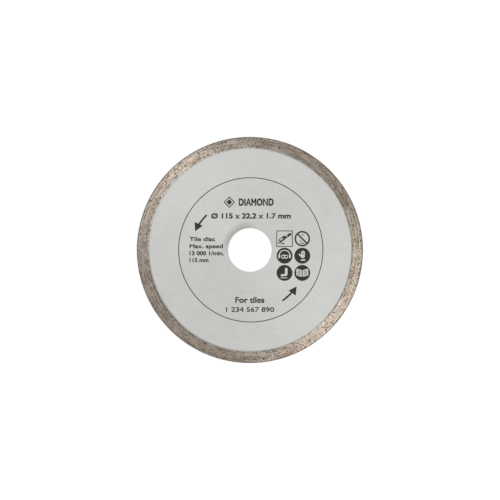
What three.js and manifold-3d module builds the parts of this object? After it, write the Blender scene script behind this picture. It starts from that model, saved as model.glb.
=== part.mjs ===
// A continuous-rim diamond blade that cuts ceramic tiles on an angle grinder.
//
// Two pieces: a thin lacquered steel core with the bore in it, and a sintered ring of metal
// bond and diamond that is pressed round the core's edge. The ring grips the edge on both
// faces and fills a row of key holes in it, so that it can't slip round or pull off.
//
// Millimetres. The blade lies flat: the bore's axis is +Z, the printed face looks up, and the
// origin is on the bore's axis, halfway through the blade's thickness.

import Module from "manifold-3d";
import * as THREE from "three";
import { mergeVertices } from "three/addons/utils/BufferGeometryUtils.js";

// The blade's nominal sizes.
const BLADE_DIAMETER = 115;
const BORE_DIAMETER = 22.23;
const RIM_THICKNESS = 1.7;

// The core.
const CORE_THICKNESS = 1.2;
const BORE_CHAMFER = 0.15;
const CLAMPED_DIAMETER = 41; // the zone that the grinder's flanges hold

// The rim, and the edge of the core inside it.
const RIM_FACE_WIDTH = 5.8;
const RIM_CORNER_RADIUS = 0.3;
const RIM_STEP_CHAMFER = 0.12;
const CORE_EDGE_IN_RIM = 2.9;
const KEY_HOLE_DIAMETER = 1.6;
const KEY_HOLE_COUNT = 24;

// How finely round shapes are stepped.
const ROUND_STEPS = 96;
const CORNER_STEPS = 3;
const KEY_HOLE_STEPS = 12;

// Radii and half-thicknesses that follow from the sizes above.
const BLADE_RADIUS = BLADE_DIAMETER / 2;
const BORE_RADIUS = BORE_DIAMETER / 2;
const CLAMPED_RADIUS = CLAMPED_DIAMETER / 2;
const RIM_INNER_RADIUS = BLADE_RADIUS - RIM_FACE_WIDTH;
const CORE_RADIUS = RIM_INNER_RADIUS + CORE_EDGE_IN_RIM;
const KEY_HOLE_CIRCLE_RADIUS = (RIM_INNER_RADIUS + CORE_RADIUS) / 2;
const HALF_CORE = CORE_THICKNESS / 2;
const HALF_RIM = RIM_THICKNESS / 2;

const wasm = await Module();
wasm.setup();

// Leaves a geometry with its positions alone, each shared corner stored once.
function weld(geometry) {
  geometry.deleteAttribute("normal");
  geometry.deleteAttribute("uv");
  return mergeVertices(geometry);
}

// Turns a closed geometry into a solid that can be cut. Each triangle counts as a face of its
// own, so a cut leaves the loops of edges on a flat face where they are.
function toSolid(geometry) {
  const welded = weld(geometry);
  const triVerts = new Uint32Array(welded.index.array);
  const mesh = new wasm.Mesh({
    numProp: 3,
    vertProperties: new Float32Array(welded.attributes.position.array),
    triVerts,
    faceID: Uint32Array.from({ length: triVerts.length / 3 }, (_, triangle) => triangle),
  });
  return new wasm.Manifold(mesh);
}

// Turns a solid back into a geometry.
function toGeometry(solid) {
  const { vertProperties, triVerts } = solid.getMesh();
  const geometry = new THREE.BufferGeometry();
  geometry.setAttribute("position", new THREE.BufferAttribute(vertProperties, 3));
  geometry.setIndex(new THREE.BufferAttribute(triVerts, 1));
  geometry.computeVertexNormals();
  return geometry;
}

// Spins a closed profile of [radius, height] points round the blade's axis. The points go
// up the outside and down the inside.
function ring(profile) {
  const points = [...profile, profile[0]].map(([radius, height]) => new THREE.Vector2(radius, height));
  return new THREE.LatheGeometry(points, ROUND_STEPS).rotateX(Math.PI / 2);
}

// The steel disc before its key holes are made, with both bore edges chamfered. A loop of
// edges on each face marks the clamped zone, and another marks where the rim begins.
function coreBlank() {
  const chamferTop = HALF_CORE - BORE_CHAMFER;
  const chamferRadius = BORE_RADIUS + BORE_CHAMFER;
  return ring([
    [chamferRadius, -HALF_CORE],
    [CLAMPED_RADIUS, -HALF_CORE],
    [RIM_INNER_RADIUS, -HALF_CORE],
    [CORE_RADIUS, -HALF_CORE],
    [CORE_RADIUS, HALF_CORE],
    [RIM_INNER_RADIUS, HALF_CORE],
    [CLAMPED_RADIUS, HALF_CORE],
    [chamferRadius, HALF_CORE],
    [BORE_RADIUS, chamferTop],
    [BORE_RADIUS, -chamferTop],
  ]);
}

// One key hole's drill, longer than the core is thick.
function keyHoleDrill(angle) {
  const radius = KEY_HOLE_DIAMETER / 2;
  return new THREE.CylinderGeometry(radius, radius, 2 * CORE_THICKNESS, KEY_HOLE_STEPS)
    .rotateX(Math.PI / 2)
    .translate(KEY_HOLE_CIRCLE_RADIUS, 0, 0)
    .rotateZ(angle);
}

// The rim's ring before the core's edge is taken out of it: round outer corners, and a small
// chamfer down to the core at its inner edge.
function rimBlank() {
  const cornerRadius = BLADE_RADIUS - RIM_CORNER_RADIUS;
  const cornerHeight = HALF_RIM - RIM_CORNER_RADIUS;
  const corner = [];
  for (let step = 0; step <= CORNER_STEPS; step += 1) {
    const angle = (Math.PI / 2) * (step / CORNER_STEPS);
    corner.push([
      cornerRadius + RIM_CORNER_RADIUS * Math.cos(angle),
      cornerHeight + RIM_CORNER_RADIUS * Math.sin(angle),
    ]);
  }
  const topHalf = [
    ...corner,
    [RIM_INNER_RADIUS + RIM_STEP_CHAMFER, HALF_RIM],
    [RIM_INNER_RADIUS, HALF_RIM - RIM_STEP_CHAMFER],
    [RIM_INNER_RADIUS, HALF_CORE],
  ];
  const bottomHalf = topHalf.map(([radius, height]) => [radius, -height]).reverse();
  return ring([...bottomHalf, ...topHalf]);
}

let core = toSolid(coreBlank());
for (let hole = 0; hole < KEY_HOLE_COUNT; hole += 1) {
  const angle = (2 * Math.PI * (hole + 0.5)) / KEY_HOLE_COUNT;
  core = core.subtract(toSolid(keyHoleDrill(angle)));
}

const rim = toSolid(rimBlank()).subtract(core);

const lacqueredSteel = new THREE.MeshStandardMaterial({
  name: "lacquered_steel",
  color: 0xcbccc9,
  roughness: 0.45,
  metalness: 0.2,
});

const sinteredRim = new THREE.MeshStandardMaterial({
  name: "sintered_rim",
  color: 0x988c7f,
  roughness: 0.5,
  metalness: 0.7,
});

const steelCore = new THREE.Mesh(toGeometry(core), lacqueredSteel);
steelCore.name = "steel_core";

const diamondRim = new THREE.Mesh(toGeometry(rim), sinteredRim);
diamondRim.name = "diamond_rim";

const blade = new THREE.Group();
blade.name = "diamond_blade";
blade.add(steelCore, diamondRim);

export default blade;
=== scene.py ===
"""A 115 mm continuous-rim diamond blade, modelled round its packed CAD frame.

The blade lies flat with its printed face up. Pieces are drawn in millimetres and brought to
metres when they are finished. Run as a script, it makes every piece and the stage in order.
"""

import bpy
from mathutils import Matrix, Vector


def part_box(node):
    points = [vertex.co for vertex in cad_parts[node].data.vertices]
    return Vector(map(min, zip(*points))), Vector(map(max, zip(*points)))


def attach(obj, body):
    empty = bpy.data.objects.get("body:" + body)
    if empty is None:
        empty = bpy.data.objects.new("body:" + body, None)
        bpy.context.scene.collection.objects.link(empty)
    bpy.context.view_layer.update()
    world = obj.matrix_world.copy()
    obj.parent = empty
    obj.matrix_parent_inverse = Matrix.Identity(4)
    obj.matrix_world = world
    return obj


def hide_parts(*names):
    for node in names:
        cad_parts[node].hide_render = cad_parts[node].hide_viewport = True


bl_info = {
    "name": "Diamond Blade",
    "version": (1, 0, 0),
    "blender": (4, 5, 0),
    "location": "View3D > Sidebar > Blade",
    "description": "Models a continuous-rim diamond blade with its print, finishes and stage",
    "category": "Add Mesh",
}

import math
import random

import bmesh
import bpy
from bpy.props import FloatProperty, FloatVectorProperty, IntProperty
from bpy.props import PointerProperty, StringProperty
from mathutils import Vector

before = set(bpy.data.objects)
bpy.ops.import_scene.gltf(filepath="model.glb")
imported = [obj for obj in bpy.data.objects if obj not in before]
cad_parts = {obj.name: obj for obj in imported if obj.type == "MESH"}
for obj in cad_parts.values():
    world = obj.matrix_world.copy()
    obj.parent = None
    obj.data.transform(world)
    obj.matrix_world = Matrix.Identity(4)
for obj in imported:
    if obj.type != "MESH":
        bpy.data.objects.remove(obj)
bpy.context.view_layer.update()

MM = 0.001
FULL_TURN = 2 * math.pi
WELD = 0.0004  # corners closer than this, in mm, become one
SECTORS = 12  # a ring is spun as one sector, which is then repeated
SMOOTH_ANGLE = math.radians(35)
CUT_MARGIN = 1  # how far a cutter reaches past the print, in mm

# Sizes that the frame gives, in millimetres.
CORE_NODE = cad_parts["steel_core"]
RIM_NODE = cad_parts["diamond_rim"]
BLADE_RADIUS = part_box("diamond_rim")[1].x / MM
HALF_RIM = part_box("diamond_rim")[1].z / MM
HALF_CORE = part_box("steel_core")[1].z / MM
BORE_RADIUS = min(corner.co.xy.length for corner in CORE_NODE.data.vertices) / MM
RIM_INNER = min(corner.co.xy.length for corner in RIM_NODE.data.vertices) / MM
RIM_MIDDLE = (RIM_INNER + BLADE_RADIUS) / 2


# ---- modelling by hand


def select_none():
    """Leaves edit mode and deselects every object."""
    if bpy.context.object and bpy.context.mode != "OBJECT":
        bpy.ops.object.mode_set(mode="OBJECT")
    bpy.ops.object.select_all(action="DESELECT")


def select_only(piece):
    """Leaves one object selected and active."""
    select_none()
    piece.select_set(True)
    bpy.context.view_layer.objects.active = piece


def start_edit(piece):
    """Enters edit mode with nothing selected."""
    select_only(piece)
    bpy.ops.object.mode_set(mode="EDIT")
    bpy.ops.mesh.select_all(action="DESELECT")


def end_edit():
    bpy.ops.object.mode_set(mode="OBJECT")


def rename(piece, name):
    """Gives an object and its mesh one name."""
    piece.name = piece.data.name = name
    return piece


def name_piece(name):
    """Names the object that was just added, and its mesh."""
    return rename(bpy.context.object, name)


def pick(kind, test):
    """In edit mode, selects the corners, edges or faces whose middle passes the test."""
    bpy.ops.mesh.select_mode(type=kind)
    bpy.ops.mesh.select_all(action="DESELECT")
    mesh = bpy.context.edit_object.data
    shape = bmesh.from_edit_mesh(mesh)
    parts = {"VERT": shape.verts, "EDGE": shape.edges, "FACE": shape.faces}[kind]
    for part in parts:
        corners = [part] if kind == "VERT" else part.verts
        middle = sum((corner.co for corner in corners), Vector()) / len(corners)
        if test(middle):
            part.select_set(True)
    bmesh.update_edit_mesh(mesh)


def place(piece, x=0.0, y=0.0, z=0.0, turn=0.0, scale=(1, 1, 1)):
    """Scales, turns and moves an object, and puts that into its mesh."""
    select_only(piece)
    piece.scale = scale
    piece.rotation_euler = (0, 0, turn)
    piece.location = (x, y, z)
    bpy.ops.object.transform_apply()


def round_axis(angle, radius, height):
    """The place at an angle and a radius round the bore's axis."""
    return Vector((radius * math.cos(angle), radius * math.sin(angle), height))


def add_section(name, inner, outer, bottom, top):
    """Adds an upright rectangle beside the bore's axis: the section of a ring."""
    select_none()
    bpy.ops.mesh.primitive_plane_add(size=1, rotation=(math.pi / 2, 0, 0))
    section = name_piece(name)
    section.scale = (outer - inner, top - bottom, 1)
    section.location = ((inner + outer) / 2, 0, (bottom + top) / 2)
    bpy.ops.object.transform_apply()
    return section


def round_corners(test, radius, segments):
    """In edit mode, rounds the section's corners that pass the test."""
    pick("VERT", test)
    bpy.ops.mesh.bevel(offset=radius, segments=segments, affect="VERTICES")


def open_section():
    """In edit mode, leaves only the section's outline."""
    bpy.ops.mesh.select_mode(type="FACE")
    bpy.ops.mesh.select_all(action="SELECT")
    bpy.ops.mesh.delete(type="ONLY_FACE")


def seal():
    """In edit mode, merges double corners and turns all faces outwards."""
    bpy.ops.mesh.select_all(action="SELECT")
    bpy.ops.mesh.remove_doubles(threshold=WELD)
    bpy.ops.mesh.normals_make_consistent(inside=False)


def spin_ring(steps):
    """In edit mode, spins the outline through one sector and repeats the sector all round."""
    sector = FULL_TURN / SECTORS
    bpy.ops.mesh.select_mode(type="VERT")
    bpy.ops.mesh.select_all(action="SELECT")
    bpy.ops.mesh.spin(steps=steps // SECTORS, angle=sector, center=(0, 0, 0), axis=(0, 0, 1))
    bpy.ops.mesh.select_all(action="SELECT")
    bpy.ops.mesh.spin(
        steps=SECTORS - 1, dupli=True, angle=FULL_TURN - sector, center=(0, 0, 0), axis=(0, 0, 1)
    )
    seal()


def join(pieces):
    """Joins separate objects into the first one."""
    select_only(pieces[0])
    for piece in pieces[1:]:
        piece.select_set(True)
    bpy.ops.object.join()
    return pieces[0]


def boolean(piece, tool, operation):
    """Cuts a piece with a tool, or adds the tool to it, and uses the tool up."""
    select_only(piece)
    bpy.ops.object.modifier_add(type="BOOLEAN")
    modifier = piece.modifiers[-1]
    modifier.operation = operation
    modifier.solver = "EXACT"
    modifier.use_self = True
    modifier.object = tool
    bpy.ops.object.modifier_apply(modifier=modifier.name)
    bpy.data.objects.remove(tool)
    return piece


def new_texture(name, kind, feature_size):
    texture = bpy.data.textures.new(name, kind)
    texture.noise_scale = feature_size
    return texture


def displace(piece, texture, depth, group=""):
    """Sinks a surface by up to depth where the texture is dark."""
    select_only(piece)
    bpy.ops.object.modifier_add(type="DISPLACE")
    modifier = piece.modifiers[-1]
    modifier.texture = texture
    modifier.texture_coords = "LOCAL"
    modifier.mid_level = 1.0
    modifier.strength = depth
    modifier.vertex_group = group
    bpy.ops.object.modifier_apply(modifier=modifier.name)


def finish_piece(piece, material, replaced=None):
    """Brings a piece from millimetres to metres, finishes it and ties it to the blade."""
    place(piece, scale=(MM, MM, MM))
    bpy.ops.object.shade_smooth_by_angle(angle=SMOOTH_ANGLE)
    piece.data.materials.clear()
    piece.data.materials.append(material)
    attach(piece, "root")
    if replaced:
        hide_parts(replaced)


# ---- shader maths


class Value:
    """An output socket whose Python operators add Math nodes."""

    def __init__(self, finish, socket):
        self.finish = finish
        self.socket = socket

    def math(self, operation, *terms):
        links = dict(enumerate(terms))
        return self.finish.node("ShaderNodeMath", {"operation": operation}, links)

    def __add__(self, other):
        return self.math("ADD", self, other)

    def __sub__(self, other):
        return self.math("SUBTRACT", self, other)

    def __rsub__(self, other):
        return self.math("SUBTRACT", other, self)

    def __mul__(self, other):
        return self.math("MULTIPLY", self, other)

    def __truediv__(self, other):
        return self.math("DIVIDE", self, other)

    def __pow__(self, other):
        return self.math("POWER", self, other)

    def __abs__(self):
        return self.math("ABSOLUTE", self)

    __radd__ = __add__
    __rmul__ = __mul__

    def clamped(self):
        return self.math("MINIMUM", self.math("MAXIMUM", self, 0.0), 1.0)

    def above(self, low, high):
        """0 below low, 1 above high, and a smooth rise between. low over high falls instead."""
        share = ((self - low) / (high - low)).clamped()
        return share * share * (3.0 - 2.0 * share)

    def swing(self, reach):
        """Noise from 0 to 1 made a swing about 0, from -reach / 2 to reach / 2."""
        return (self - 0.5) * reach


class Finish:
    """A material being made, with one method that adds any node.

    The surface's place is in mm: spot is its vector, x, y and z are the parts, and radius is
    the distance from the bore's axis.
    """

    def __init__(self, name):
        self.material = bpy.data.materials.new(name)
        self.material.use_nodes = True
        self.nodes = self.material.node_tree.nodes
        self.links = self.material.node_tree.links
        self.shader = self.nodes["Principled BSDF"]
        metres = self.node("ShaderNodeTexCoord", output=3)
        scaled = {0: metres, 3: 1 / MM}
        self.spot = self.node("ShaderNodeVectorMath", {"operation": "SCALE"}, scaled)
        self.x, self.y, self.z = (
            self.node("ShaderNodeSeparateXYZ", None, {0: self.spot}, output=axis)
            for axis in range(3)
        )
        self.radius = (self.x * self.x + self.y * self.y) ** 0.5
        self.place = self.spot, self.x, self.y, self.z, self.radius

    def node(self, kind, settings=None, inputs=None, output=0):
        """Adds a node, sets it, fills or links its sockets, and returns one output."""
        node = self.nodes.new(kind)
        for key, setting in (settings or {}).items():
            setattr(node, key, setting)
        for key, term in (inputs or {}).items():
            self.feed(node.inputs[key], term)
        return Value(self, node.outputs[output])

    def feed(self, socket, term):
        """Links a socket to a Value, or sets it."""
        if isinstance(term, Value):
            self.links.new(term.socket, socket)
        else:
            socket.default_value = term

    def set(self, **sockets):
        """Feeds the shader's sockets, which are named with _ for a space."""
        for name, term in sockets.items():
            self.feed(self.shader.inputs[name.replace("_", " ")], term)

    def mix(self, factor, first, second):
        """A colour between two colours."""
        inputs = {"Factor": factor, 6: first, 7: second}
        return self.node("ShaderNodeMix", {"data_type": "RGBA"}, inputs, output=2)

    def noise(self, vector, size, detail=2.0, roughness=0.5):
        """Noise from 0 to 1 whose features are about size across, in the vector's units."""
        inputs = {"Vector": vector, "Scale": 1 / size, "Detail": detail, "Roughness": roughness}
        return self.node("ShaderNodeTexNoise", None, inputs)

    def spots(self, vector, size):
        """Distance to the nearest of many scattered points, in cells about size across."""
        inputs = {"Vector": vector, "Scale": 1 / size}
        return self.node("ShaderNodeTexVoronoi", {"feature": "F1"}, inputs)

    def bump(self, height, distance, under=None):
        """A normal tilted by a height from 0 to 1, which stands for a distance in metres."""
        inputs = {"Height": height, "Distance": distance, "Strength": 1.0}
        if under:
            inputs["Normal"] = under
        return self.node("ShaderNodeBump", None, inputs)

    def turned(self, strength):
        """Draws highlights out across fine lines that run round the bore's axis."""
        self.set(Anisotropic=strength, Anisotropic_Rotation=0.25)

    def vector(self, x, y, z):
        return self.node("ShaderNodeCombineXYZ", None, {0: x, 1: y, 2: z})

    def towards(self, direction, low, high):
        """The part of the disc in a direction, whose edge lies between two cosines."""
        across, up = direction
        return ((self.x * across + self.y * up) / self.radius).above(low, high)


# Directions from the bore, as (x, y), toward a darker patch, painted light and shade, more pores,
# or more overspray.
BORE_PATCH_SIDE = (-0.67, 0.74)
BEAD_HIGHLIGHT_SIDE = (-0.64, -0.77)
SHADED_LEFT = (-0.92, -0.39)
SHADED_UPPER_RIGHT = (0.5, 0.86)
STAINED_AND_SHADED_SIDE = (-0.34, -0.94)
CORNER_SHADE_SIDE = (-0.82, 0.57)
SPRAYED_SIDE = (-0.77, 0.64)

# The colours of the painted highlight by the rim, the painted shadow beside it, the painted shade
# at the rim's foot and the softer painted shade.
BEAD_HIGHLIGHT_COLOUR = (0.56, 0.57, 0.56, 1)
SHADOW_COLOUR = (0.24, 0.245, 0.225, 1)
FOOT_SHADE_COLOUR = (0.2, 0.2, 0.175, 1)
SOFT_SHADE_COLOUR = (0.13, 0.125, 0.11, 1)

# How high the finest reliefs stand, in mm.
LACQUER_RELIEF = 0.018
PORE_RELIEF = 0.03
CRYSTAL_RELIEF = 0.01
INK_RELIEF = 0.004


def lacquer_parts(finish, sizes):
    """The grey lacquer's colour, roughness and height, for the core and for overspray."""
    spot, x, y, z, radius = finish.place
    clouding = finish.noise(spot, 14.0, 3.0)
    flake = finish.noise(spot, 0.5, 4.0, 0.8)
    peel = finish.noise(spot, 0.9, 2.0)
    wiped = finish.noise(finish.vector(x / 9.0, y * 2.2, z), 1.0, 4.0, 0.6)
    upright = finish.noise(finish.vector(x * 1.4, y / 12.0, z), 1.0, 3.0, 0.6)
    shade = 0.56 + clouding.swing(0.7) + flake.swing(3.3)
    shade = shade + wiped.swing(0.7) + upright.swing(0.2)
    # Painted light: the lacquer is painted a little lighter towards the top.
    painted_light_to_top = (y * 0.98 - x * 0.1) * 0.0035
    inside = radius.above(sizes.zone_radius + 0.4, sizes.zone_radius - 0.4)
    shade = (shade + painted_light_to_top - inside * 0.1).clamped()
    colour = finish.mix(shade, sizes.lacquer_dark, sizes.lacquer_light)
    roughness = 0.36 + peel.swing(0.16) + wiped.swing(0.2)
    turned = finish.vector(x / radius * 10.0, y / radius * 10.0, radius / 0.22)
    height = peel * 0.6 + flake * 0.4 + wiped * 0.35 + finish.noise(turned, 1.0, 2.0) * 1.4
    return colour, roughness, height


def lacquered_steel(sizes):
    """Satin grey lacquer with a darker patch by the bore, painted light and shade by the rim, and
    bare steel in the bore.
    """
    finish = Finish("lacquered_steel")
    spot, x, y, z, radius = finish.place
    lacquer, roughness, height = lacquer_parts(finish, sizes)

    # A soft darker patch above and to the left of the bore.
    bore_patch_side = finish.towards(BORE_PATCH_SIDE, 0.45, 1.0)
    near = radius.above(BORE_RADIUS + 4.6, BORE_RADIUS + 0.2)
    patchy = 0.6 + 0.9 * finish.noise(spot, 3.5, 3.0)
    bore_patch = (bore_patch_side * near * patchy).clamped()
    colour = finish.mix(bore_patch, lacquer, sizes.bore_patch_colour)

    # A painted highlight line inside the rim, as if the lacquer bead caught the light, a little off
    # centre, and a painted shadow between it and the rim.
    off_centre = 0.25
    shifted = ((x - off_centre) ** 2.0 + (y - off_centre) ** 2.0) ** 0.5
    painted_bead_highlight = abs(shifted - (RIM_INNER - 0.75)).above(0.26, 0.04)
    broken = finish.noise(finish.vector(x / 8.0, y / 8.0, z), 1.0, 3.0).above(0.42, 0.6)
    bead_highlight_side = finish.towards(BEAD_HIGHLIGHT_SIDE, 0.3, 0.75)
    colour = finish.mix(painted_bead_highlight * broken * bead_highlight_side * 0.3, colour, BEAD_HIGHLIGHT_COLOUR)
    shadow = shifted.above(RIM_INNER - 0.65, RIM_INNER - 0.3)
    colour = finish.mix(shadow * bead_highlight_side * 0.45, colour, SHADOW_COLOUR)

    # Painted shade at the rim's foot, and a softer band of painted shade at the left and the upper
    # right.
    foot_shade = (radius + finish.noise(spot, 1.2, 3.0) * 0.5).above(RIM_INNER - 0.15, RIM_INNER + 0.3)
    left = finish.towards(SHADED_LEFT, 0.86, 0.98)
    right = finish.towards(SHADED_UPPER_RIGHT, 0.9, 0.99) * 0.6
    colour = finish.mix(foot_shade * (0.45 + left * 0.3), colour, FOOT_SHADE_COLOUR)
    soft_shade = (radius + finish.noise(spot, 2.0, 2.0) * 0.4).above(RIM_INNER - 0.9, RIM_INNER + 0.2)
    colour = finish.mix(soft_shade * (left + right) * 0.5, colour, SOFT_SHADE_COLOUR)

    # The bare bore wall and the scuffed edge round it.
    scuffed = finish.noise(spot, 0.7, 4.0, 0.7)
    bare = (radius + scuffed * 0.1).above(BORE_RADIUS + 0.2, BORE_RADIUS + 0.12)
    colour = finish.mix(bare, colour, sizes.steel_colour)
    roughness = roughness - bare * 0.05
    finish.set(Base_Color=colour, Roughness=roughness, Metallic=bare * 0.9)
    finish.set(Normal=finish.bump(height, LACQUER_RELIEF * MM))
    finish.turned(0.65)
    return finish.material


def sintered_bond(sizes, lacquer_sizes):
    """Bronze-brown sintered metal with grinding lines, pores, lacquer on its inner edge, and
    painted shade on its outer corner and foot.
    """
    finish = Finish("sintered_bond")
    spot, x, y, z, radius = finish.place
    lacquer, lacquer_rough, _ = lacquer_parts(finish, lacquer_sizes)
    turned_x = x / radius * RIM_MIDDLE
    turned_y = y / radius * RIM_MIDDLE
    across = radius + z * 1.3

    def lines(length, width, detail=2.0):
        """Noise drawn out along the rim, in lines about width across and length long."""
        stretched = finish.vector(turned_x / length, turned_y / length, across / width)
        return finish.noise(stretched, 1.0, detail, 0.6)

    coarse = lines(12.0, 0.7, 2.0)
    fine = lines(5.0, 0.25, 3.0)
    patches = finish.noise(finish.vector(turned_x, turned_y, across), 5.0, 2.0)
    grainy = finish.noise(spot, 0.6, 3.0, 0.7)

    shade = 0.5 + coarse.swing(1.8) + fine.swing(1.7) + grainy.swing(0.8) + patches.swing(0.8)
    bond = finish.mix(shade.clamped(), sizes.bond_dark, sizes.bond_light)

    # Pores and buried grit, seen as small dark spots, closer together in some places. They crowd
    # closer toward the lower left, partly real and partly painted shade that darkens that side.
    stained_and_shaded = finish.towards(STAINED_AND_SHADED_SIDE, 0.3, 0.9)
    crowd = finish.noise(spot, 3.2, 2.0).above(0.3, 0.6) + stained_and_shaded * 0.35
    flecks = finish.noise(spot, 0.45, 2.0, 0.6)
    uneven = finish.vector(x + grainy.swing(1.3), y + flecks.swing(1.3), z)
    small = finish.spots(uneven, 1.1).above(0.38, 0.22) * (0.35 + crowd * 0.65)
    wide = finish.spots(uneven, 2.1).above(0.26, 0.14) * crowd
    pores = (small * 0.9 + wide).clamped()
    bond = finish.mix(pores * 0.85, bond, sizes.pore_and_shade_colour)

    # What lies lower than the ground faces is darker. The outer corner gets painted shade, heavier
    # at the upper left, and so does the rim's foot at the left.
    sunk = (HALF_RIM - abs(z)).above(0.02, 0.1) * (BLADE_RADIUS - radius).above(0.02, 0.1)
    bond = finish.mix(sunk * 0.5, bond, sizes.pore_and_shade_colour)
    corner = radius.above(BLADE_RADIUS - 0.55, BLADE_RADIUS - 0.3)
    corner = corner * abs(z).above(HALF_RIM - 0.5, HALF_RIM - 0.25)
    heavier_corner_shade = finish.towards(CORNER_SHADE_SIDE, 0.2, 0.8) * 0.35
    bond = finish.mix(corner * (0.6 + heavier_corner_shade), bond, sizes.pore_and_shade_colour)
    # Painted shade on the rim's foot at the left.
    left = finish.towards(SHADED_LEFT, 0.86, 0.98)
    foot_shade = left * (radius + grainy * 0.5).above(RIM_INNER + 1.2, RIM_INNER + 0.5)
    bond = finish.mix(foot_shade * 0.4, bond, sizes.pore_and_shade_colour)

    # Lacquer that reached over the rim's inner edge.
    heavy = finish.towards(SPRAYED_SIDE, 0.3, 0.9)
    ragged = finish.noise(spot, 1.3, 4.0, 0.75).swing(0.9 + heavy * 1.5)
    reach = radius + ragged - heavy * 0.3 + left * 0.3
    spray = reach.above(RIM_INNER + 0.25, RIM_INNER + 0.05)
    colour = finish.mix(spray, bond, lacquer)

    metallic = (1.0 - spray) * (0.92 - pores * 0.6) * (1.0 - corner * 0.8)
    rough = 0.335 + patches.swing(0.15) + pores * 0.2 + corner * 0.25
    roughness = rough * (1.0 - spray) + lacquer_rough * spray
    grooves = lines(30.0, 0.25) + lines(20.0, 0.5) * 2.0
    ground = finish.bump(grooves, sizes.groove_depth * MM)
    relief = finish.bump(grainy * 0.05 - pores * 0.35, PORE_RELIEF * MM, ground)
    finish.set(Base_Color=colour, Roughness=roughness, Metallic=metallic, Normal=relief)
    finish.turned(0.85)
    return finish.material


def grit_stone(sizes):
    """Dull grey-green diamond, darker in random patches."""
    finish = Finish("diamond_grit")
    tint = finish.noise(finish.spot, 1.5, 1.0).above(0.35, 0.65)
    colour = finish.mix(tint, sizes.grit_dark, sizes.grit_light)
    finish.set(Base_Color=colour, Roughness=0.25 + 0.3 * finish.noise(finish.spot, 0.2, 2.0))
    finish.set(Normal=finish.bump(finish.noise(finish.spot, 0.12, 2.0), CRYSTAL_RELIEF * MM))
    finish.set(Specular_IOR_Level=0.3)
    return finish.material


def printed_ink(sizes):
    """Warm black pad print, a little thin in places."""
    finish = Finish("printed_ink")
    thin = finish.noise(finish.spot, 0.3, 3.0, 0.6).above(0.55, 0.8) * 0.35
    colour = finish.mix(thin, sizes.ink_colour, sizes.ink_thin_colour)
    finish.set(Base_Color=colour, Roughness=0.55 + 0.2 * finish.noise(finish.spot, 0.5, 2.0))
    finish.set(Normal=finish.bump(finish.noise(finish.spot, 0.25, 2.0), INK_RELIEF * MM))
    finish.set(Specular_IOR_Level=0.2)
    return finish.material


# ---- sizes and colours


def amount_property(name, default, description):
    return FloatProperty(name=name, default=default, min=0.0, description=description)


def length_property(name, default, description):
    return amount_property(name, default, description + ", in mm")


def colour_property(name, default, description):
    looks = {"size": 4, "min": 0.0, "max": 1.0, "subtype": "COLOR"}
    return FloatVectorProperty(
        name=name, default=(*default, 1.0), description=description, **looks
    )


class BladeCoreSizes(bpy.types.PropertyGroup):
    """The steel core and its lacquer."""

    steps: IntProperty(name="Steps", default=360, min=24, description="Facets round the core")
    bore_chamfer: length_property("Bore chamfer", 0.15, "Chamfer on the bore's edges")
    bead_height: length_property("Bead", 0.1, "Half-thickness of the lacquer bead at the rim")
    zone_radius: length_property("Zone radius", 36.7, "Radius of the printed zone")
    lacquer_light: colour_property("Light lacquer", (0.434, 0.437, 0.422), "Where it is lightest")
    lacquer_dark: colour_property("Dark lacquer", (0.351, 0.354, 0.341), "Where it is darkest")
    bore_patch_colour: colour_property("Smudge", (0.255, 0.248, 0.228), "The handled patch by the bore")
    steel_colour: colour_property("Bare steel", (0.33, 0.325, 0.315), "The bare bore wall")


class BladeRimSizes(bpy.types.PropertyGroup):
    """The sintered rim."""

    steps: IntProperty(name="Steps", default=1080, min=24, description="Facets round the rim")
    face_cuts: IntProperty(name="Face cuts", default=17, min=0, description="Cuts across a face")
    edge_cuts: IntProperty(name="Edge cuts", default=5, min=0, description="Cuts across the edge")
    corner_radius: length_property("Corner radius", 0.3, "Wear on the outer corners")
    inner_chamfer: length_property("Inner chamfer", 0.12, "Chamfer at the inner edge")
    wave_depth: length_property("Wave depth", 0.01, "Unevenness of the ground faces")
    pit_depth: length_property("Pit depth", 0.035, "Depth of the pores")
    groove_depth: length_property("Groove depth", 0.028, "Depth of the grinding lines")
    edge_wander: length_property("Edge wander", 0.3, "How far the inner edge wanders")
    bond_light: colour_property("Light bond", (0.368, 0.32, 0.275), "Polished bond")
    bond_dark: colour_property("Dark bond", (0.146, 0.108, 0.079), "Dull bond")
    # Also the colour of the painted shade on the rim's outer corner and at its foot.
    pore_and_shade_colour: colour_property("Pores", (0.045, 0.038, 0.03), "Pores and dirt in them")


class BladeGritSizes(bpy.types.PropertyGroup):
    """The diamond crystals that show in the rim."""

    face_count: IntProperty(name="On each face", default=900, min=0, description="Crystals")
    edge_count: IntProperty(name="On the edge", default=300, min=0, description="Crystals")
    kinds: IntProperty(name="Kinds", default=4, min=1, description="Different crystals")
    smallest: length_property("Smallest", 0.35, "Smallest crystal")
    largest: length_property("Largest", 1.05, "Largest crystal")
    depth: length_property("Depth", 0.25, "Thickness of a worn crystal")
    sunk: length_property("Sunk", 0.012, "How far below the rim's face a top may lie")
    seed: IntProperty(name="Seed", default=7, description="Changes where the crystals lie")
    grit_light: colour_property("Light crystal", (0.06, 0.055, 0.045), "Clear crystals")
    grit_dark: colour_property("Dark crystal", (0.012, 0.01, 0.008), "Deep crystals")


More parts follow.
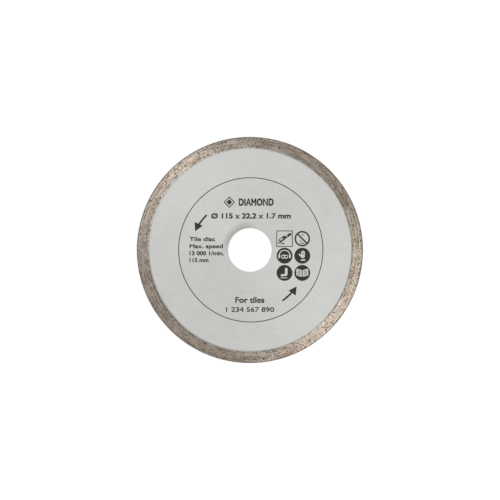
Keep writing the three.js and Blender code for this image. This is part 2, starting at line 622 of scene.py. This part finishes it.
class BladePrintSizes(bpy.types.PropertyGroup):
    """The print on the upper face."""

    thickness: length_property("Thickness", 0.014, "How proud the ink stands")
    ring_radius: length_property("Ring radius", 36.71, "Radius of the ring line")
    ring_width: length_property("Ring width", 0.42, "Width of the ring line")
    heading: StringProperty(name="Heading", default="DIAMOND", description="Word at the top")
    sizes_line: StringProperty(
        name="Sizes", default="Ø 115 x 22.2 x 1.7 mm", description="Line of sizes"
    )
    label: StringProperty(name="Label", default="For tiles", description="Word at the bottom")
    number: StringProperty(name="Number", default="1 234 567 890", description="Placeholder")
    ink_colour: colour_property("Ink", (0.018, 0.015, 0.012), "Solid ink")
    ink_thin_colour: colour_property("Thin ink", (0.06, 0.055, 0.05), "Where the ink is thin")


class BladeStageSizes(bpy.types.PropertyGroup):
    """The floor, the lights and the camera."""

    view_width: length_property("View width", 254.4, "Width seen at the blade")
    lens: length_property("Lens", 300.0, "Focal length")
    sky: amount_property("Sky", 1.0, "Brightness all round")
    key_power: amount_property("Key power", 0.55, "Power of the key light, in watts")
    side_power: amount_property("Side power", 0.62, "Power of the side light, in watts")
    floor_colour: colour_property("Floor", (0.5, 0.5, 0.5), "Pale floor")


# ---- core and rim


class BLADE_OT_core(bpy.types.Operator):
    """Models the lacquered steel core and the bead of lacquer at the rim's foot"""

    bl_idname = "blade.core"
    bl_label = "Steel core"

    UNDER_RIM = 0.5  # how far the plate reaches under the rim, in mm
    FACE_CUTS = 9
    BEAD_UNEVENNESS = 0.6  # as a share of the bead's height

    def execute(self, context):
        sizes = context.scene.blade_core
        material = lacquered_steel(sizes)
        outer = RIM_INNER + self.UNDER_RIM
        core = add_section("core_plate", BORE_RADIUS, outer, -HALF_CORE, HALF_CORE)
        start_edit(core)
        round_corners(lambda spot: spot.x < BORE_RADIUS + WELD, sizes.bore_chamfer, 3)
        open_section()
        pick("EDGE", self.is_face)
        bpy.ops.mesh.subdivide(number_cuts=self.FACE_CUTS)
        spin_ring(sizes.steps)
        end_edit()
        finish_piece(core, material, "steel_core")

        for name, side in (("lacquer_bead_top", 1), ("lacquer_bead_back", -1)):
            bead = self.add_bead(name, sizes, side)
            finish_piece(bead, material)
        return {"FINISHED"}

    def is_face(self, spot):
        """Whether an edge of the section lies in one of the plate's faces."""
        return abs(spot.z) > HALF_CORE - WELD and spot.x > BORE_RADIUS + 1

    def add_bead(self, name, sizes, side):
        """A low, uneven bead of lacquer where one face of the core meets the rim."""
        select_none()
        radii = {"major_radius": RIM_INNER, "minor_radius": sizes.bead_height}
        bpy.ops.mesh.primitive_torus_add(major_segments=720, minor_segments=8, **radii)
        bead = name_piece(name)
        place(bead, z=side * HALF_CORE)
        clouds = new_texture(name, "CLOUDS", 2.5)
        displace(bead, clouds, sizes.bead_height * self.BEAD_UNEVENNESS)
        return bead


class BLADE_OT_rim(bpy.types.Operator):
    """Models the sintered rim with its ground faces, pores and uneven inner edge"""

    bl_idname = "blade.rim"
    bl_label = "Sintered rim"

    def execute(self, context):
        sizes = context.scene.blade_rim
        rim = add_section("rim_ring", RIM_INNER, BLADE_RADIUS, -HALF_RIM, HALF_RIM)
        start_edit(rim)
        round_corners(lambda spot: spot.x > RIM_MIDDLE, sizes.corner_radius, 4)
        round_corners(lambda spot: spot.x < RIM_MIDDLE, sizes.inner_chamfer, 2)
        open_section()
        pick("EDGE", lambda spot: abs(spot.z) > HALF_RIM - WELD)
        bpy.ops.mesh.subdivide(number_cuts=sizes.face_cuts)
        pick("EDGE", lambda spot: spot.x > BLADE_RADIUS - WELD)
        bpy.ops.mesh.subdivide(number_cuts=sizes.edge_cuts)
        spin_ring(sizes.steps)
        end_edit()
        self.roughen(rim, sizes)
        material = sintered_bond(sizes, context.scene.blade_core)
        finish_piece(rim, material, "diamond_rim")
        return {"FINISHED"}

    def roughen(self, rim, sizes):
        """Sinks pores and low places into the rim, and makes its inner edge wander."""
        group = rim.vertex_groups.new(name="inner_edge")
        reach = RIM_INNER + sizes.inner_chamfer + WELD
        inner = [corner.index for corner in rim.data.vertices if corner.co.xy.length < reach]
        group.add(inner, 1.0, "REPLACE")

        displace(rim, new_texture("edge_wander", "CLOUDS", 0.7), sizes.edge_wander, group.name)
        displace(rim, new_texture("face_waves", "CLOUDS", 2.2), sizes.wave_depth)

        pits = new_texture("pores", "VORONOI", 3.0)
        pits.use_color_ramp = True
        floor, lip = pits.color_ramp.elements
        floor.position, floor.color = 0.1, (0, 0, 0, 1)
        lip.position, lip.color = 0.3, (1, 1, 1, 1)
        displace(rim, pits, sizes.pit_depth)


class BLADE_OT_grit(bpy.types.Operator):
    """Sets diamond crystals in the rim's two faces and in its edge"""

    bl_idname = "blade.grit"
    bl_label = "Diamond grit"

    # The band of a face that holds crystals, and where they gather along its edges, in mm.
    INNER = RIM_INNER + 0.35
    OUTER = BLADE_RADIUS - 0.5
    GATHER_WIDTH = 1.6
    GATHER_PEAK = 0.2

    CLUMP_SIZES = (0, 0, 0, 2, 3, 5)
    CLUMP_LENGTH = 1.6
    CLUMP_WIDTH = 0.5

    SUNK_SHARE = 0.15  # how deep a crystal's middle lies, as a share of its size
    CORNER_ROOM = 0.15  # what the crystals in the edge keep clear of its corners, in mm

    def execute(self, context):
        sizes = context.scene.blade_grit
        draw = random.Random(sizes.seed)
        kinds = [self.add_crystal(seed) for seed in range(sizes.kinds)]
        crystals = []
        for side in (1, -1):
            for spot in self.face_spots(draw, sizes.face_count):
                crystals.append(self.set_on_face(draw.choice(kinds), draw, sizes, spot, side))
        for _ in range(sizes.edge_count):
            crystals.append(self.set_on_edge(draw.choice(kinds), draw, sizes))
        select_none()
        for kind in kinds:
            bpy.data.objects.remove(kind)
        for copy in crystals:
            copy.select_set(True)
        bpy.context.view_layer.objects.active = crystals[0]
        bpy.ops.object.transform_apply()
        grit = rename(join(crystals), "diamond_grit")
        finish_piece(grit, grit_stone(sizes))
        return {"FINISHED"}

    def add_crystal(self, seed):
        """One crystal, about 1 mm across: 20 uneven facets, worn flat at the top, at Z = 0."""
        select_none()
        bpy.ops.mesh.primitive_ico_sphere_add(subdivisions=1, radius=0.5)
        crystal = name_piece("crystal")
        place(crystal, z=-self.SUNK_SHARE)
        start_edit(crystal)
        bpy.ops.mesh.select_all(action="SELECT")
        bpy.ops.transform.vertex_random(offset=0.16, uniform=0.5, seed=seed)
        bpy.ops.mesh.bisect(plane_no=(0, 0, 1), clear_outer=True, use_fill=True)
        end_edit()
        return crystal

    def face_spots(self, draw, count):
        """Places on a face as (angle, radius), some of them with a clump of others round them."""
        spots = []
        while len(spots) < count:
            angle = draw.uniform(0, FULL_TURN)
            radius = self.band_radius(draw)
            spots.append((angle, radius))
            for _ in range(draw.choice(self.CLUMP_SIZES)):
                near = angle + draw.gauss(0, self.CLUMP_LENGTH) / radius
                inwards = radius + draw.gauss(0, self.CLUMP_WIDTH)
                spots.append((near, min(max(inwards, self.INNER), self.OUTER)))
        return spots[:count]

    def band_radius(self, draw):
        """A radius in the face: a third by its inner edge, and 3 in 10 by its outer edge."""
        inner, outer, width, peak = self.INNER, self.OUTER, self.GATHER_WIDTH, self.GATHER_PEAK
        band = draw.random()
        if band < 0.34:
            return draw.triangular(inner, inner + width, inner + peak)
        if band < 0.64:
            return draw.triangular(outer - width, outer, outer - peak)
        return draw.uniform(inner, outer)

    def copy_crystal(self, crystal, draw, sizes):
        """Copies the crystal, and gives the copy a random size."""
        copy = crystal.copy()
        copy.data = crystal.data.copy()
        bpy.context.scene.collection.objects.link(copy)
        size = draw.triangular(sizes.smallest, sizes.largest, sizes.smallest * 1.4)
        copy.scale = (size * draw.uniform(0.9, 1.4), size * draw.uniform(0.6, 1.0), sizes.depth)
        return copy

    def set_on_face(self, crystal, draw, sizes, spot, side):
        """Sets a crystal flush with a face, with its length roughly along the rim."""
        angle, radius = spot
        copy = self.copy_crystal(crystal, draw, sizes)
        turn = angle + math.pi / 2 + draw.gauss(0, 0.6)
        copy.rotation_euler = (0 if side > 0 else math.pi, 0, turn)
        height = side * (HALF_RIM - sizes.sunk * draw.random())
        copy.location = round_axis(angle, radius, height)
        return copy

    def set_on_edge(self, crystal, draw, sizes):
        """The crystal's X lies across the edge, so it is shortened to stay off the corners."""
        angle = draw.uniform(0, FULL_TURN)
        copy = self.copy_crystal(crystal, draw, sizes)
        copy.scale.x *= 0.5
        room = HALF_RIM - self.CORNER_ROOM - copy.scale.x * 0.66
        height = draw.uniform(-room, room)
        copy.rotation_euler = (0, math.pi / 2, angle)
        radius = BLADE_RADIUS - sizes.sunk * (0.5 + draw.random())
        copy.location = round_axis(angle, radius, height)
        return copy


# ---- print


INK_SUNK = 0.004  # how far the ink reaches into the lacquer, in mm
CAP_SHARE = 0.682  # the height of a capital in the font, whose size is 1
TALL = 20.0  # the height at which letters are fattened, in mm
ROUND_SHARE = 0.49  # a bar's corner radius as a share of its width


def ink_span(context):
    """The print's lowest and highest level."""
    return HALF_CORE - INK_SUNK, HALF_CORE + context.scene.blade_print.thickness


def add_bar(start, end, width, low, high):
    """Adds a flat bar with round ends, whose middle line goes from start to end."""
    start, end = Vector(start), Vector(end)
    select_none()
    bpy.ops.mesh.primitive_cube_add(size=1)
    bar = bpy.context.object
    place(bar, scale=((end - start).length + width, width, high - low))
    start_edit(bar)
    pick("EDGE", lambda spot: abs(spot.z) < WELD)
    bpy.ops.mesh.bevel(offset=width * ROUND_SHARE, segments=6, affect="EDGES")
    end_edit()
    middle = (start + end) / 2
    turn = math.atan2(end.y - start.y, end.x - start.x)
    place(bar, middle.x, middle.y, (low + high) / 2, turn)
    return bar


def add_dot(x, y, radius, low, high, corners=72):
    """Adds a flat disc, or with few corners a flat polygon that stands on one of them."""
    select_none()
    bpy.ops.mesh.primitive_cylinder_add(vertices=corners, radius=radius, depth=high - low)
    dot = bpy.context.object
    place(dot, x, y, (low + high) / 2)
    return dot


def add_strokes(strokes, x, y, low, high):
    """Joins a glyph's strokes, each a bar as (x, y, x, y, width), at a place."""
    parts = []
    for start_x, start_y, end_x, end_y, width in strokes:
        start, end = (x + start_x, y + start_y), (x + end_x, y + end_y)
        parts.append(add_bar(start, end, width, low, high))
    glyph = parts[0]
    for part in parts[1:]:
        boolean(glyph, part, "UNION")
    return glyph


def add_line(low, high, name, words, left, baseline, cap_height, weight, width, spacing=1.0):
    """Adds a line of print of a given width, its capitals cap_height tall, fattened by weight."""
    select_none()
    bpy.ops.object.text_add()
    piece = name_piece(name)
    piece.data.body = words
    piece.data.size = 1.0
    piece.data.extrude = 0.5
    piece.data.resolution_u = 3
    piece.data.space_character = spacing
    select_only(piece)
    bpy.ops.object.convert(target="MESH")
    ends = [corner.co.x for corner in piece.data.vertices]
    left_end, right_end = min(ends), max(ends)
    across = (width - 2 * weight) / (right_end - left_end)
    up = (cap_height - 2 * weight) / CAP_SHARE
    place(piece, -left_end * across, 0, 0, 0, (across, up, TALL))

    # The letters are fattened while they are tall, so that they stay flat on top.
    start_edit(piece)
    seal()
    bpy.ops.transform.shrink_fatten(value=weight * math.sqrt(2))
    end_edit()
    flat = (1, 1, (high - low) / TALL)
    x, y = left + weight, baseline + weight
    place(piece, x, y, (low + high) / 2, 0, flat)
    return piece


PICTOGRAM_X = (17.6, 26.62)
PICTOGRAM_Y = (5.75, -2.9, -11.65)
PICTOGRAM_RADIUS = 4.05
BAR_RING = (3.95, 3.15)  # outer and inner radius
BAR = (-2.4, 2.4, 2.4, -2.4, 0.8)
FRAME_SIDES = (8.3, 7.5)  # outer and inner side

# The signs' figures, as bars from a sign's middle. Details lie dark in a light figure.
EARS_AND_EYES = [
    (-2.65, 0.9, -1.85, 2.25, 0.5), (-1.85, 2.25, 0, 2.85, 0.5), (0, 2.85, 1.85, 2.25, 0.5),
    (1.85, 2.25, 2.65, 0.9, 0.5), (-2.7, 0.3, -2.7, -0.8, 0.95),
    (2.7, 0.3, 2.7, -0.8, 0.95), (-0.75, -0.5, 0.75, -0.5, 2.0),
]
EARS_AND_EYES_DETAILS = [
    (-0.95, -0.45, -0.65, -0.45, 0.95), (0.65, -0.45, 0.95, -0.45, 0.95),
    (0, -1.75, 0, -1.3, 0.5),
]
MITTEN = [
    (0.35, -0.3, 0.35, 1.6, 1.9), (-1.5, 0.7, -0.3, -0.6, 0.75),
    (-0.5, -2.2, 1.2, -2.2, 0.75),
]
MITTEN_DETAILS = [(0.35, 0.5, 0.35, 1.8, 0.35)]
BOOT = [
    (0.85, 2.0, 0.85, -0.8, 1.3), (0.7, -0.95, -1.5, -1.25, 1.05),
    (1.25, -2.5, -1.8, -2.5, 0.4),
]
BOOK = [
    (side * 2.7, level + 0.4, side * 0.55, level - 0.25, 0.7)
    for side in (-1, 1)
    for level in (1.4, 0.85, 0.3, -0.25, -0.8, -1.35)
]
BOOK += [(side * 2.7, 1.8, side * 2.7, -0.95, 0.7) for side in (-1, 1)]
BOOK += [(side * 0.55, 1.15, side * 0.55, -1.6, 0.7) for side in (-1, 1)]
BOOK_DETAILS = [
    (side * 2.3, level + 0.25, side * 0.95, level - 0.15, 0.32)
    for side in (-1, 1)
    for level in (0.85, 0.0, -0.85)
]
GRINDER = [
    (-0.6, 0.1, 2.9, 2.3, 1.25), (-1.9, -0.8, -0.4, 0.4, 1.9),
    (-2.9, -2.1, -0.5, -2.5, 0.8),
]
GRINDER_LIGHTS = [
    (-1.9, -0.6, -1.1, 0.1, 0.75), (0.9, 1.25, 1.3, 1.5, 0.5),
    (-2.6, -2.15, -1.0, -2.4, 0.3),
]
UNDER_BAR = [
    (0.1, 2.35, 0.8, 2.35, 0.3), (-0.4, 1.75, 0.9, 1.75, 0.22),
    (-1.4, -0.9, -0.5, -0.9, 0.25), (-1.1, -1.6, 0.2, -1.6, 0.22),
    (-1.2, -2.45, 1.0, -2.45, 0.35),
]


class BLADE_OT_ring_line(bpy.types.Operator):
    """Prints the thin ring line, a little off centre"""

    bl_idname = "blade.ring_line"
    bl_label = "Ring line"

    STEPS = 252
    CENTRE = (0.41, 0.08)

    def execute(self, context):
        sizes = context.scene.blade_print
        low, high = ink_span(context)
        inner = sizes.ring_radius - sizes.ring_width / 2
        outer = sizes.ring_radius + sizes.ring_width / 2
        ring = add_section("print_ring_line", inner, outer, low, high)
        start_edit(ring)
        open_section()
        spin_ring(self.STEPS)
        end_edit()
        place(ring, *self.CENTRE)
        finish_piece(ring, printed_ink(sizes))
        return {"FINISHED"}


class BLADE_OT_words(bpy.types.Operator):
    """Prints the generic words and numbers"""

    bl_idname = "blade.words"
    bl_label = "Words and numbers"

    EMBLEM_CENTRE = (-10.5, 24.35)
    EMBLEM_RADII = (2.9, 2.25, 1.5)  # of its outer square, the gap in it and its heart
    RATING_LEFT = -30.8
    RATING_SIZE = (2.2, 0.13)  # capital height and fattening

    def execute(self, context):
        sizes = context.scene.blade_print
        low, high = ink_span(context)
        ink = printed_ink(sizes)
        left, size = self.RATING_LEFT, self.RATING_SIZE
        lines = (
            ("print_heading", sizes.heading, -5.7, 22.45, 3.8, 0.24, 17.8, 1.12),
            ("print_sizes", sizes.sizes_line, -19.8, 15.95, 2.8, 0.2, 40.6),
            ("print_rating_1", "Tile disc", left, 4.45, *size, 13.1),
            ("print_rating_2", "Max. speed", left, 0.85, *size, 17.1),
            ("print_rating_3", "13 000 1/min.", left, -2.75, *size, 17.5),
            ("print_rating_4", "115 mm", left, -6.25, *size, 9.7),
            ("print_label", sizes.label, -7.5, -26.95, 3.1, 0.16, 14.9),
            ("print_number", sizes.number, -12.2, -31.55, 2.5, 0.09, 24.5),
        )
        pieces = [self.add_emblem(low, high)]
        pieces += [add_line(low, high, *line) for line in lines]
        for piece in pieces:
            finish_piece(piece, ink)
        return {"FINISHED"}

    def add_emblem(self, low, high):
        """A square on its corner, cut out round a smaller one."""
        outer, gap, heart = self.EMBLEM_RADII
        emblem = add_dot(*self.EMBLEM_CENTRE, outer, low, high, 4)
        tool = add_dot(*self.EMBLEM_CENTRE, gap, low - CUT_MARGIN, high + CUT_MARGIN, 4)
        boolean(emblem, tool, "DIFFERENCE")
        boolean(emblem, add_dot(*self.EMBLEM_CENTRE, heart, low, high, 4), "UNION")
        return rename(emblem, "print_emblem")


class BLADE_OT_pictograms(bpy.types.Operator):
    """Prints the block of plain safety pictograms"""

    bl_idname = "blade.pictograms"
    bl_label = "Pictograms"

    def execute(self, context):
        self.low, self.high = ink_span(context)
        ink = printed_ink(context.scene.blade_print)
        left, right = PICTOGRAM_X
        top, middle, bottom = PICTOGRAM_Y
        ears = EARS_AND_EYES, EARS_AND_EYES_DETAILS
        signs = (
            ("print_tool_sign", self.framed(left, top)),
            ("print_bar_sign", self.barred(right, top)),
            ("print_goggles_sign", self.knocked_out(left, middle, *ears)),
            ("print_glove_sign", self.knocked_out(right, middle, MITTEN, MITTEN_DETAILS)),
            ("print_boot_sign", self.knocked_out(left, bottom, BOOT)),
            ("print_manual_sign", self.knocked_out(right, bottom, BOOK, BOOK_DETAILS)),
        )
        for name, sign in signs:
            finish_piece(rename(sign, name), ink)
        return {"FINISHED"}

    def glyph(self, strokes, x, y):
        return add_strokes(strokes, x, y, self.low, self.high)

    def cutter(self, strokes, x, y):
        return add_strokes(strokes, x, y, self.low - CUT_MARGIN, self.high + CUT_MARGIN)

    def knocked_out(self, x, y, light, dark=()):
        """A dark disc with a light figure, which has dark details of its own."""
        sign = add_dot(x, y, PICTOGRAM_RADIUS, self.low, self.high)
        boolean(sign, self.cutter(light, x, y), "DIFFERENCE")
        if dark:
            boolean(sign, self.glyph(dark, x, y), "UNION")
        return sign

    def framed(self, x, y):
        """A thin square frame round a small grinder."""
        grinder = self.glyph(GRINDER, x, y)
        boolean(grinder, self.cutter(GRINDER_LIGHTS, x, y), "DIFFERENCE")
        outer, inner = FRAME_SIDES
        square = self.square(x, y, outer, self.low, self.high)
        tool = self.square(x, y, inner, self.low - CUT_MARGIN, self.high + CUT_MARGIN)
        boolean(square, tool, "DIFFERENCE")
        return boolean(square, grinder, "UNION")

    def square(self, x, y, side, low, high):
        select_none()
        bpy.ops.mesh.primitive_cube_add(size=1)
        square = bpy.context.object
        place(square, x, y, (low + high) / 2, 0, (side, side, high - low))
        return square

    def barred(self, x, y):
        """A ring with a bar across it, over a few thin strokes."""
        outer, inner = BAR_RING
        ring = add_dot(x, y, outer, self.low, self.high)
        tool = add_dot(x, y, inner, self.low - CUT_MARGIN, self.high + CUT_MARGIN)
        boolean(ring, tool, "DIFFERENCE")
        boolean(ring, self.glyph([BAR], x, y), "UNION")
        return boolean(ring, self.glyph(UNDER_BAR, x, y), "UNION")


class BLADE_OT_arrows(bpy.types.Operator):
    """Prints the two arrows that show which way the blade turns"""

    bl_idname = "blade.arrows"
    bl_label = "Rotation arrows"

    BEND = 29.0  # radius of the shaft's arc
    SHAFT = 0.9  # width of the shaft
    HEAD_WIDTH = 4.5
    HEAD_LENGTH = 4.2

    def execute(self, context):
        low, high = ink_span(context)
        ink = printed_ink(context.scene.blade_print)
        arrows = (
            ("print_arrow_left", (-22.0, 17.8), (-27.9, 9.5)),
            ("print_arrow_right", (16.5, -25.8), (23.8, -18.5)),
        )
        for name, tail, tip in arrows:
            arrow = rename(self.add_arrow(Vector(tail), Vector(tip), low, high), name)
            finish_piece(arrow, ink)
        return {"FINISHED"}

    def add_arrow(self, tail, tip, low, high):
        """A shaft on an arc, anticlockwise from tail to tip, with a head."""
        bend = self.BEND
        along = (tip - tail).normalized()
        half = (tip - tail).length / 2
        inwards = Vector((-along.y, along.x))
        centre = (tip + tail) / 2 + inwards * math.sqrt(bend**2 - half**2)
        start = math.atan2(tail.y - centre.y, tail.x - centre.x)
        sweep = 2 * math.asin(half / bend)
        part = add_section("shaft", bend - self.SHAFT / 2, bend + self.SHAFT / 2, low, high)
        start_edit(part)
        bpy.ops.mesh.select_all(action="SELECT")
        shaft_sweep = sweep - self.HEAD_LENGTH * 0.8 / bend
        bpy.ops.mesh.spin(steps=12, angle=-shaft_sweep, center=(0, 0, 0), axis=(0, 0, 1))
        bpy.ops.mesh.select_all(action="SELECT")
        bpy.ops.mesh.normals_make_consistent(inside=False)
        end_edit()
        place(part, centre.x, centre.y, 0, start)

        # A triangle stands on one corner that points along +Y, at 1 from its middle.
        point = add_dot(0, 0, 1, low, high, 3)
        place(point, scale=(self.HEAD_WIDTH / math.sqrt(3), self.HEAD_LENGTH / 1.5, 1))
        facing = start + sweep
        place(point, tip.x, tip.y, 0, facing)
        back = Vector((math.sin(facing), -math.cos(facing))) * self.HEAD_LENGTH / 1.5
        place(point, back.x, back.y)
        return boolean(part, point, "UNION")


# ---- stage


class BLADE_OT_stage(bpy.types.Operator):
    """Lays the pale floor and sets the lights and the camera straight above the blade"""

    bl_idname = "blade.stage"
    bl_label = "Stage"

    # Each light's azimuth and elevation in degrees, and its distance and width in metres.
    KEY_LIGHT = (128, 64, 0.6, 0.14)
    SIDE_LIGHT = (-31, 65, 0.45, 0.24)
    FLOOR_RADIUS = 8.0
    NEAR_GLOW = (0.5, 0.5, 0.5, 1)
    FAR_GLOW = (0.6, 0.6, 0.6, 1)
    GLOW_SPAN = (100, 600)  # in mm from the bore's axis
    SENSOR_WIDTH = 36.0
    CAMERA_X = 0.02  # in mm, which centres the blade in the view

    def execute(self, context):
        sizes = context.scene.blade_stage
        self.lay_floor(sizes)
        self.light_sky(context, sizes)
        self.hang_light("key_light", *self.KEY_LIGHT, sizes.key_power)
        self.hang_light("side_light", *self.SIDE_LIGHT, sizes.side_power)
        self.aim_camera(context, sizes)
        context.scene.view_settings.view_transform = "Standard"
        return {"FINISHED"}

    def lay_floor(self, sizes):
        """A round floor that glows a little more far from the blade."""
        select_none()
        radius = self.FLOOR_RADIUS
        bpy.ops.mesh.primitive_circle_add(vertices=96, radius=radius, fill_type="NGON")
        floor = name_piece("floor")
        place(floor, z=-HALF_RIM * MM)
        finish = Finish("pale_floor")
        far = finish.radius.above(*self.GLOW_SPAN)
        glow = finish.mix(far, self.NEAR_GLOW, self.FAR_GLOW)
        finish.set(Emission_Color=glow, Emission_Strength=1.0)
        finish.set(Base_Color=sizes.floor_colour, Roughness=0.8, Specular_IOR_Level=0.0)
        floor.data.materials.append(finish.material)

    def light_sky(self, context, sizes):
        """An even white sky."""
        world = bpy.data.worlds.new("studio")
        world.use_nodes = True
        sky = world.node_tree.nodes["Background"]
        sky.inputs["Color"].default_value = (1, 1, 1, 1)
        sky.inputs["Strength"].default_value = sizes.sky
        context.scene.world = world

    def hang_light(self, name, azimuth, elevation, distance, size, power):
        """A square light that faces the blade. Azimuth turns anticlockwise from +X."""
        around, up = math.radians(azimuth), math.radians(elevation)
        flat = math.cos(up)
        spot = Vector((flat * math.cos(around), flat * math.sin(around), math.sin(up)))
        bpy.ops.object.light_add(type="AREA", location=spot * distance)
        light = bpy.context.object
        light.name = name
        light.rotation_euler = spot.to_track_quat("Z", "Y").to_euler()
        light.data.size = size
        light.data.energy = power

    def aim_camera(self, context, sizes):
        """Hangs the camera straight above the blade, looking down."""
        bpy.ops.object.camera_add()
        camera = bpy.context.object
        camera.data.lens = sizes.lens
        camera.data.sensor_width = self.SENSOR_WIDTH
        distance = sizes.view_width * sizes.lens / camera.data.sensor_width
        camera.location = (self.CAMERA_X * MM, 0, (distance + HALF_CORE) * MM)
        camera.data.clip_start = 0.1
        camera.data.clip_end = 30.0
        context.scene.camera = camera


# ---- panel and run

STEPS = (
    BLADE_OT_core, BLADE_OT_rim, BLADE_OT_grit, BLADE_OT_ring_line,
    BLADE_OT_words, BLADE_OT_pictograms, BLADE_OT_arrows, BLADE_OT_stage,
)

GROUPS = {
    "blade_core": BladeCoreSizes,
    "blade_rim": BladeRimSizes,
    "blade_grit": BladeGritSizes,
    "blade_print": BladePrintSizes,
    "blade_stage": BladeStageSizes,
}


class BLADE_PT_panel(bpy.types.Panel):
    """Lists the blade's pieces and their sizes"""

    bl_idname = "BLADE_PT_panel"
    bl_label = "Diamond blade"
    bl_space_type = "VIEW_3D"
    bl_region_type = "UI"
    bl_category = "Blade"

    def draw(self, context):
        layout = self.layout
        for step in STEPS:
            layout.operator(step.bl_idname)
        for group, kind in GROUPS.items():
            box = layout.box()
            box.label(text=kind.__doc__)
            for name in kind.__annotations__:
                box.prop(getattr(context.scene, group), name)


def register():
    for kind in (*GROUPS.values(), *STEPS, BLADE_PT_panel):
        bpy.utils.register_class(kind)
    for group, kind in GROUPS.items():
        setattr(bpy.types.Scene, group, PointerProperty(type=kind))


def unregister():
    for group in GROUPS:
        delattr(bpy.types.Scene, group)
    for kind in (BLADE_PT_panel, *reversed(STEPS), *reversed(GROUPS.values())):
        bpy.utils.unregister_class(kind)


def main():
    register()
    bpy.ops.blade.core()
    bpy.ops.blade.rim()
    bpy.ops.blade.grit()
    bpy.ops.blade.ring_line()
    bpy.ops.blade.words()
    bpy.ops.blade.pictograms()
    bpy.ops.blade.arrows()
    bpy.ops.blade.stage()


if __name__ == "__main__":
    main()
